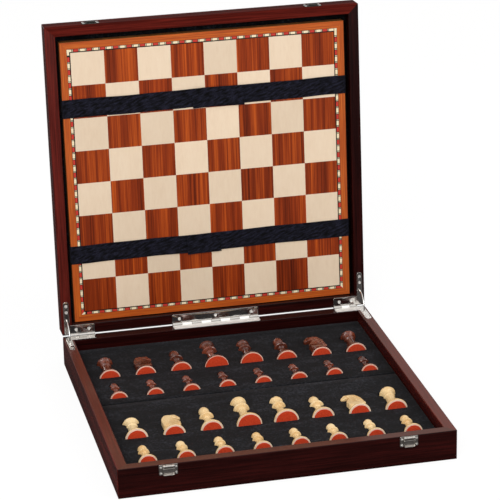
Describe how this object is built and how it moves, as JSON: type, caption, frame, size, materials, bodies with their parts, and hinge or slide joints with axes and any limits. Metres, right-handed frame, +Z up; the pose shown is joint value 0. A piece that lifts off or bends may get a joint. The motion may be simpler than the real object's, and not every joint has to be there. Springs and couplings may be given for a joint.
{
  "type": "chess box with hinged lid",
  "caption": "Square wooden chess box with turned pieces nested in a black velvet tray and an inlaid board strapped inside its hinged, open lid.",
  "frame": {"origin": "centre of the underside of the base", "axes": "+X to the right, +Y to the hinges at the back, +Z up"},
  "size_m": [0.38, 0.4338, 0.4193],
  "materials": {
    "lacquered_mahogany": "high-gloss lacquer over a dark red-brown stain",
    "panel_wood": "lacquered dark red-brown plywood",
    "velvet": "black flocked velvet",
    "board_plywood": "plain sanded edge",
    "border_veneer": "orange-brown veneer, satin lacquer",
    "inlay": "dyed and natural veneer band, satin lacquer",
    "light_veneer": "pale maple veneer, satin lacquer",
    "dark_veneer": "striped reddish-brown veneer, satin lacquer",
    "elastic": "woven navy-black elastic",
    "nickel_plate": "bright nickel plating",
    "steel_wire": "bright drawn wire",
    "boxwood": "polished pale wood",
    "rosewood": "polished dark reddish-brown wood",
    "red_felt": "pressed red felt"
  },
  "bodies": {
    "base": {"base_front_wall": "lacquered_mahogany", "base_back_wall": "lacquered_mahogany", "base_left_wall": "lacquered_mahogany", "base_right_wall": "lacquered_mahogany", "base_panel": "panel_wood", "tray_far_block": "velvet", "tray_near_block": "velvet", "centre_base_leaf": "nickel_plate", "left_base_leaf": "nickel_plate", "right_base_leaf": "nickel_plate", "hinge_pins": "steel_wire", "base_hinge_screws": "nickel_plate", "left_catch_plate": "nickel_plate", "right_catch_plate": "nickel_plate", "flap_pins": "steel_wire", "catch_screws": "nickel_plate"},
    "lid": {"lid_front_wall": "lacquered_mahogany", "lid_back_wall": "lacquered_mahogany", "lid_left_wall": "lacquered_mahogany", "lid_right_wall": "lacquered_mahogany", "lid_panel": "lacquered_mahogany", "lid_lining": "velvet", "board_core": "board_plywood", "board_border": "border_veneer", "board_inlay": "inlay", "light_squares": "light_veneer", "dark_squares": "dark_veneer", "low_strap": "elastic", "high_strap": "elastic", "centre_lid_leaf": "nickel_plate", "left_lid_leaf": "nickel_plate", "right_lid_leaf": "nickel_plate", "lid_hinge_screws": "nickel_plate", "left_keeper": "nickel_plate", "right_keeper": "nickel_plate", "keeper_screws": "nickel_plate"},
    "left_stay": {"left_stay": "steel_wire"},
    "right_stay": {"right_stay": "steel_wire"},
    "left_flap": {"left_flap": "nickel_plate"},
    "right_flap": {"right_flap": "nickel_plate"},
    "dark_officers": {"dark_king": "rosewood", "dark_queen": "rosewood", "dark_bishops": "rosewood", "dark_knights": "rosewood", "dark_rooks": "rosewood", "dark_officer_felts": "red_felt"},
    "dark_pawns": {"dark_pawns": "rosewood", "dark_pawn_felts": "red_felt"},
    "light_officers": {"light_king": "boxwood", "light_queen": "boxwood", "light_bishops": "boxwood", "light_knights": "boxwood", "light_rooks": "boxwood", "light_officer_felts": "red_felt"},
    "light_pawns": {"light_pawns": "boxwood", "light_pawn_felts": "red_felt"}
  },
  "joints": [
    {"name": "lid_hinge", "type": "hinge", "parent": "base", "child": "lid", "pos_m": [0, 0.191, 0.036], "axis": [-1, 0, 0], "range_deg": [-93.7, 0]},
    {"name": "left_stay_hinge", "type": "hinge", "parent": "base", "child": "left_stay", "pos_m": [0, 0.191, 0.036], "axis": [-1, 0, 0], "range_deg": [-47, 0]},
    {"name": "right_stay_hinge", "type": "hinge", "parent": "base", "child": "right_stay", "pos_m": [0, 0.191, 0.036], "axis": [-1, 0, 0], "range_deg": [-47, 0]},
    {"name": "left_flap_hinge", "type": "hinge", "parent": "base", "child": "left_flap", "pos_m": [-0.1345, -0.19265, 0.0333], "axis": [-1, 0, 0], "range_deg": [0, 180]},
    {"name": "right_flap_hinge", "type": "hinge", "parent": "base", "child": "right_flap", "pos_m": [0.1345, -0.19265, 0.0333], "axis": [-1, 0, 0], "range_deg": [0, 180]},
    {"name": "dark_officers_lift", "type": "slide", "parent": "base", "child": "dark_officers", "axis": [0, 0, 1], "range_m": [0, 0.06]},
    {"name": "dark_pawns_lift", "type": "slide", "parent": "base", "child": "dark_pawns", "axis": [0, 0, 1], "range_m": [0, 0.06]},
    {"name": "light_officers_lift", "type": "slide", "parent": "base", "child": "light_officers", "axis": [0, 0, 1], "range_m": [0, 0.06]},
    {"name": "light_pawns_lift", "type": "slide", "parent": "base", "child": "light_pawns", "axis": [0, 0, 1], "range_m": [0, 0.06]}
  ],
  "couplings": [
    {"joint": "left_stay_hinge", "follows": "lid_hinge", "ratio": 0.5},
    {"joint": "right_stay_hinge", "follows": "lid_hinge", "ratio": 0.5}
  ]
}
